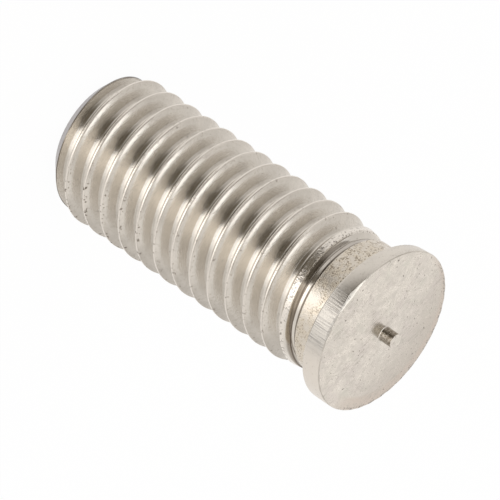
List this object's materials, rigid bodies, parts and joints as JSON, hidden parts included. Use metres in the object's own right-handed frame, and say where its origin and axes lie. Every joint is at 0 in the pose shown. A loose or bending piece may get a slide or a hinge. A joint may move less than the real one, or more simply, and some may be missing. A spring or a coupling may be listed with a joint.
{
  "type": "weld stud",
  "caption": "Stainless steel weld stud: a right-hand threaded shank with a plain neck, a thin round flange and a coned weld face with a small ignition tip.",
  "frame": {"origin": "middle of the flat thread end that the stud stands on", "axes": "+Z along the stud's axis, from the thread end towards the weld face; X and Y are across it"},
  "size_m": [0.009, 0.009, 0.0209],
  "materials": {
    "stainless_steel": "bare rolled and headed stainless steel, satin"
  },
  "bodies": {
    "root": {"weld_stud": "stainless_steel"}
  },
  "joints": []
}
